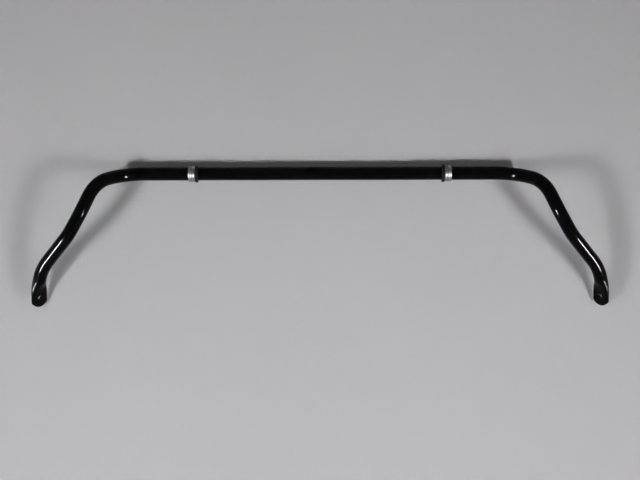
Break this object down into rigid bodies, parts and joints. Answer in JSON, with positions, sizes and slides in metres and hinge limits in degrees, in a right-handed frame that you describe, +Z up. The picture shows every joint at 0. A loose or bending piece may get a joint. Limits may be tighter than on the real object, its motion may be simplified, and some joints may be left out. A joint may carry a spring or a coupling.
{
  "type": "sway bar",
  "caption": "Bent tubular anti-roll bar with raised arms, flattened pierced ends for drop links, and crimped collars with thrust rings that locate it sideways.",
  "frame": {"origin": "middle of the straight stretch of the bar, on its torsion axis", "axes": "X along the straight stretch, -Y towards the arms' ends, +Z up as the bar lies on a flat surface"},
  "size_m": [1.0316, 0.2537, 0.0915],
  "materials": {
    "bar_paint": "high gloss black paint",
    "collar_aluminium": "turned, satin",
    "thrust_ring_plastic": "semi-matte moulded nylon"
  },
  "bodies": {
    "root": {"bar": "bar_paint", "left_crimp_collar": "collar_aluminium", "right_crimp_collar": "collar_aluminium", "left_thrust_ring": "thrust_ring_plastic", "right_thrust_ring": "thrust_ring_plastic"}
  },
  "joints": []
}
